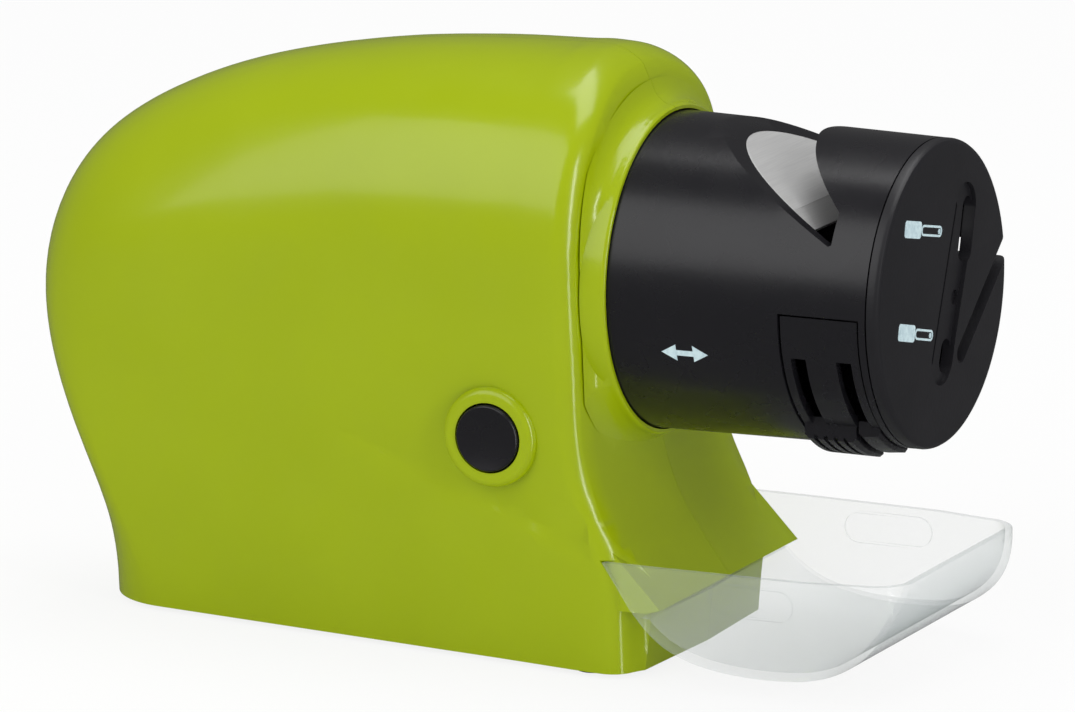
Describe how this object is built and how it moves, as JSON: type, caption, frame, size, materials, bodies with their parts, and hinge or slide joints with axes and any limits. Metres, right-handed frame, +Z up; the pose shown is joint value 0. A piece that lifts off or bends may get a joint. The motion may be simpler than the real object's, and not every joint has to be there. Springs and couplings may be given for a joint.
{
  "type": "battery knife sharpener",
  "caption": "Battery knife sharpener: two-shell housing, pull-off grinding head with knife, driver and scissor slots, push button, clear catch tray, motor and wheels inside.",
  "frame": {"origin": "centre of the bounding box's underside, on the table", "axes": "+X forward along the spindle, towards the grinding head and the tray; +Y away from the push-button side; +Z up"},
  "size_m": [0.1889, 0.0696, 0.1146],
  "materials": {
    "lime_plastic": "glossy lime ABS",
    "black_plastic": "satin black ABS",
    "clear_plastic": "clear styrene",
    "foot_rubber": "matt",
    "screw_steel": "zinc plated",
    "guide_steel": "ground steel",
    "spring_steel": "drawn wire",
    "contact_metal": "nickel plated",
    "cell_wrap": "plain wrapped steel can",
    "pale_plastic": "natural nylon",
    "bronze": "sintered bronze",
    "brass_metal": "turned brass",
    "abrasive": "bonded abrasive",
    "can_steel": "plated steel",
    "magnet": "ferrite",
    "winding": "laminated stack with enamelled wire"
  },
  "bodies": {
    "housing": {"left_housing": "lime_plastic", "right_housing": "lime_plastic", "housing_screws": "screw_steel", "base_feet": "foot_rubber", "battery_tray": "black_plastic", "batteries": "cell_wrap", "battery_contacts": "contact_metal", "button_spring": "spring_steel", "switch_body": "black_plastic", "bearing_bracket": "black_plastic", "rear_bush": "bronze", "front_bush": "bronze", "motor_can": "can_steel", "motor_end_bell": "pale_plastic", "motor_magnets": "magnet"},
    "head": {"head_sleeve": "black_plastic", "knife_guide_plate": "guide_steel", "end_cap": "black_plastic"},
    "latch": {"head_latch": "black_plastic"},
    "drive": {"spindle": "guide_steel", "knife_wheel": "abrasive", "wheel_spacer": "guide_steel", "face_wheel": "abrasive", "wheel_nut": "brass_metal", "shaft_coupling": "brass_metal", "motor_shaft": "guide_steel", "motor_rotor": "winding"},
    "button": {"power_button": "black_plastic", "switch_plunger": "pale_plastic"},
    "cover": {"battery_cover": "lime_plastic"},
    "tray": {"catch_tray": "clear_plastic"}
  },
  "joints": [
    {"name": "head_pull", "type": "slide", "parent": "housing", "child": "head", "axis": [1, 0, 0], "range_m": [0, 0.065]},
    {"name": "latch_press", "type": "hinge", "parent": "head", "child": "latch", "pos_m": [0.0784, -0.0285, 0.073], "axis": [1, 0, 0], "range_deg": [0, 2], "stiffness_Nm_per_rad": 0.8},
    {"name": "spindle_spin", "type": "hinge", "parent": "housing", "child": "drive", "pos_m": [0.0377, 0, 0.0725], "axis": [1, 0, 0], "continuous": true},
    {"name": "power_button_press", "type": "slide", "parent": "housing", "child": "button", "axis": [0, 1, 0], "range_m": [0, 0.0018], "stiffness_N_per_m": 300, "deforming": ["button_spring"]},
    {"name": "cover_drop", "type": "slide", "parent": "housing", "child": "cover", "axis": [0, 0, -1], "range_m": [0, 0.03]},
    {"name": "tray_slide", "type": "slide", "parent": "housing", "child": "tray", "axis": [1, 0, 0], "range_m": [0, 0.065]}
  ]
}
